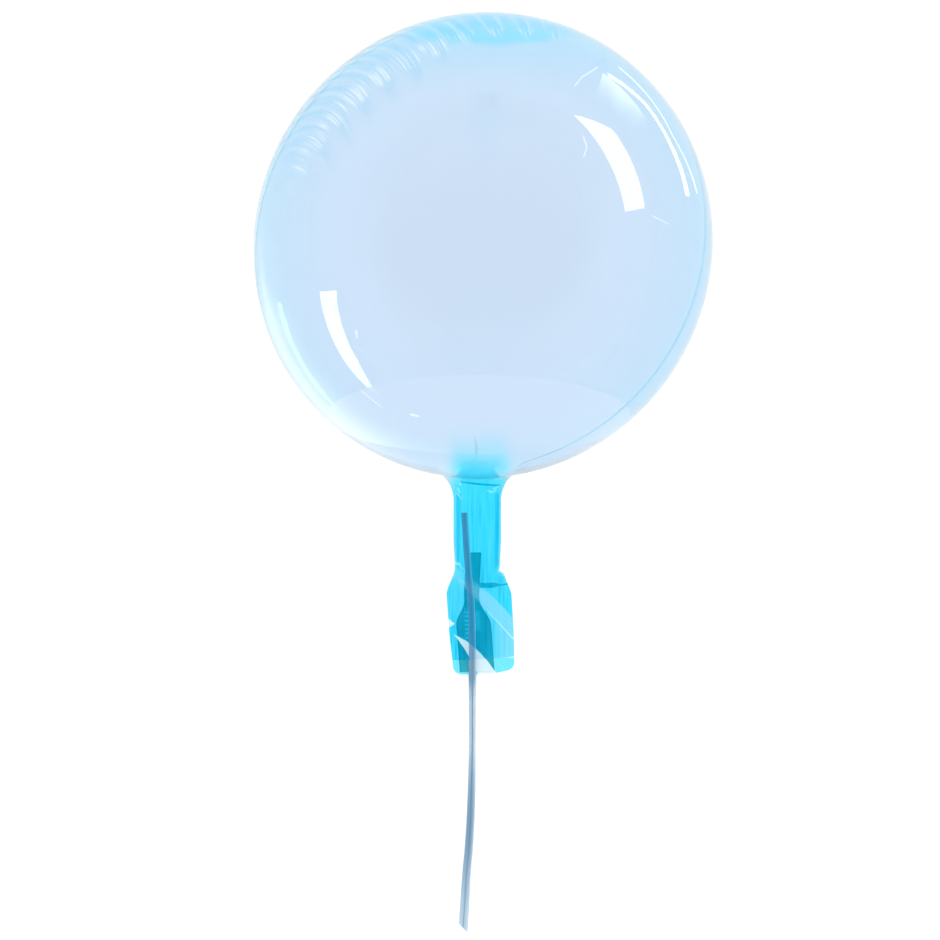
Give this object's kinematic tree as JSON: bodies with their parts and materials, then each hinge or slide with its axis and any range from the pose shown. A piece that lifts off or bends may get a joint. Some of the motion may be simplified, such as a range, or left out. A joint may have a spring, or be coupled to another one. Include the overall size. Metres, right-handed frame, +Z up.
{
  "type": "clear bubble balloon",
  "caption": "Blown-up clear blue bubble balloon lying at rest, with its neck, flat tail tab, film fill valve and loose ribbon.",
  "frame": {"origin": "middle of the small flat spot under the globe, on the floor", "axes": "+Z up, -Y along the tail and the ribbon, +X to the right when the tail points at the viewer"},
  "size_m": [0.457, 0.8852, 0.4563],
  "materials": {
    "clear_film": "clear, high gloss, tinted pale blue, deeper cyan where the film is less stretched",
    "valve_film": "teal printed film, satin",
    "ribbon_film": "translucent grey-blue ribbon, folded lengthwise, satin"
  },
  "bodies": {
    "root": {"envelope": "clear_film", "fill_valve": "valve_film", "ribbon": "ribbon_film"}
  },
  "joints": []
}
